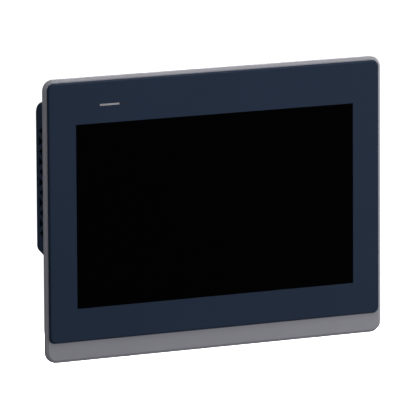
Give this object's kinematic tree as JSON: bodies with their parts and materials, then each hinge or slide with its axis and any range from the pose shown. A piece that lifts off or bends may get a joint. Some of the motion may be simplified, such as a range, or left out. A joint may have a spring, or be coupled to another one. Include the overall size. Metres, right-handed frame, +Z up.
{
  "type": "hmi touch panel",
  "caption": "Panel-mounted operator terminal with a wide touch screen in a dark cover, grey bezel, shallow rear housing and screw clamps.",
  "frame": {"origin": "middle of the bezel's rear face, in the plane of the front of the panel it is fitted in", "axes": "+X along the width, +Y back through the panel (the screen faces -Y), +Z up"},
  "size_m": [0.268, 0.044, 0.198],
  "materials": {
    "bezel_grey": "fine moulded texture",
    "cover_navy": "smooth satin film",
    "screen_black": "black, gloss",
    "strip_pale": "printed, satin",
    "lamp_smoke": "smoked clear plastic",
    "clear_plastic": "clear, gloss",
    "touch_glass": "polished",
    "foam_black": "closed-cell foam",
    "seal_rubber": "moulded rubber",
    "display_steel": "thin pressed sheet",
    "cell_glass": "dark polarised",
    "light_white": "white film stack",
    "carrier_steel": "zinc-plated sheet",
    "board_green": "solder mask",
    "housing_dark": "fine moulded texture",
    "screw_steel": "zinc-plated",
    "spacer_brass": "turned",
    "foil_amber": "polyimide film",
    "chip_black": "moulded epoxy",
    "pad_grey": "soft silicone",
    "sink_aluminium": "black-free, extruded",
    "ferrite_grey": "pressed ferrite",
    "can_aluminium": "drawn can",
    "cell_steel": "polished steel",
    "contact_gold": "gold-plated",
    "shell_steel": "nickel-plated",
    "insert_black": "moulded",
    "plug_green": "moulded",
    "lever_white": "moulded",
    "switch_case": "moulded",
    "plate_silver": "matt film",
    "clamp_zinc": "die-cast, coated",
    "lamp_emitter": "potted"
  },
  "bodies": {
    "root": {"front_bezel": "bezel_grey", "front_cover": "cover_navy", "screen_sheet": "screen_black", "touch_glass": "touch_glass", "touch_gasket": "foam_black", "touch_tail": "foil_amber", "lcd_frame": "display_steel", "lcd_cell": "cell_glass", "lcd_backlight": "light_white", "display_cable": "foil_amber", "status_strip": "strip_pale", "lamp_window": "lamp_smoke", "light_pipe": "clear_plastic", "lamp_board": "board_green", "status_lamps": "lamp_emitter", "panel_gasket": "seal_rubber", "display_chassis": "carrier_steel", "chassis_screws": "screw_steel", "board_spacers": "spacer_brass", "main_board": "board_green", "board_screws": "screw_steel", "processor": "chip_black", "thermal_pad": "pad_grey", "heat_sink": "sink_aluminium", "memory_chips": "chip_black", "power_coils": "ferrite_grey", "capacitors": "can_aluminium", "battery_holder": "insert_black", "coin_cell": "cell_steel", "network_jack_a": "insert_black", "network_jack_b": "insert_black", "jack_contacts": "contact_gold", "serial_shell": "shell_steel", "serial_insulator": "insert_black", "serial_pins": "contact_gold", "serial_studs": "screw_steel", "usb_shell": "shell_steel", "usb_tongue": "lever_white", "setting_switch": "switch_case", "power_header": "plug_green", "power_pins": "shell_steel", "rear_housing": "housing_dark", "housing_screws": "screw_steel", "rating_plate": "plate_silver", "clamp_block_1": "clamp_zinc", "clamp_block_2": "clamp_zinc", "clamp_block_3": "clamp_zinc", "clamp_block_4": "clamp_zinc"},
    "power_plug": {"power_plug": "plug_green", "plug_screws": "screw_steel"},
    "switch_lever_1": {"switch_lever_1": "lever_white"},
    "switch_lever_2": {"switch_lever_2": "lever_white"},
    "clamp_foot_1": {"clamp_foot_1": "clamp_zinc"},
    "clamp_screw_1": {"clamp_screw_1": "screw_steel"},
    "clamp_foot_2": {"clamp_foot_2": "clamp_zinc"},
    "clamp_screw_2": {"clamp_screw_2": "screw_steel"},
    "clamp_foot_3": {"clamp_foot_3": "clamp_zinc"},
    "clamp_screw_3": {"clamp_screw_3": "screw_steel"},
    "clamp_foot_4": {"clamp_foot_4": "clamp_zinc"},
    "clamp_screw_4": {"clamp_screw_4": "screw_steel"}
  },
  "joints": [
    {"name": "clamp_foot_1_slide", "type": "slide", "parent": "root", "child": "clamp_foot_1", "axis": [0, -1, 0], "range_m": [0, 0.0052]},
    {"name": "clamp_screw_1_turn", "type": "hinge", "parent": "clamp_foot_1", "child": "clamp_screw_1", "pos_m": [-0.07, 0.0131, 0.0946], "axis": [0, -1, 0], "range_deg": [0, 3744.1]},
    {"name": "clamp_foot_2_slide", "type": "slide", "parent": "root", "child": "clamp_foot_2", "axis": [0, -1, 0], "range_m": [0, 0.0052]},
    {"name": "clamp_screw_2_turn", "type": "hinge", "parent": "clamp_foot_2", "child": "clamp_screw_2", "pos_m": [0.07, 0.0131, 0.0946], "axis": [0, -1, 0], "range_deg": [0, 3744.1]},
    {"name": "clamp_foot_3_slide", "type": "slide", "parent": "root", "child": "clamp_foot_3", "axis": [0, -1, 0], "range_m": [0, 0.0052]},
    {"name": "clamp_screw_3_turn", "type": "hinge", "parent": "clamp_foot_3", "child": "clamp_screw_3", "pos_m": [-0.07, 0.0131, -0.0946], "axis": [0, -1, 0], "range_deg": [0, 3744.1]},
    {"name": "clamp_foot_4_slide", "type": "slide", "parent": "root", "child": "clamp_foot_4", "axis": [0, -1, 0], "range_m": [0, 0.0052]},
    {"name": "clamp_screw_4_turn", "type": "hinge", "parent": "clamp_foot_4", "child": "clamp_screw_4", "pos_m": [0.07, 0.0131, -0.0946], "axis": [0, -1, 0], "range_deg": [0, 3744.1]},
    {"name": "power_plug_pull", "type": "slide", "parent": "root", "child": "power_plug", "axis": [0, 0, -1], "range_m": [0, 0.012]},
    {"name": "switch_lever_1_slide", "type": "slide", "parent": "root", "child": "switch_lever_1", "axis": [0, 1, 0], "range_m": [0, 0.0018]},
    {"name": "switch_lever_2_slide", "type": "slide", "parent": "root", "child": "switch_lever_2", "axis": [0, 1, 0], "range_m": [0, 0.0018]}
  ],
  "couplings": [
    {"joint": "clamp_screw_1_turn", "follows": "clamp_foot_1_slide", "rad_per_m": 12566},
    {"joint": "clamp_screw_2_turn", "follows": "clamp_foot_2_slide", "rad_per_m": 12566},
    {"joint": "clamp_screw_3_turn", "follows": "clamp_foot_3_slide", "rad_per_m": 12566},
    {"joint": "clamp_screw_4_turn", "follows": "clamp_foot_4_slide", "rad_per_m": 12566}
  ]
}
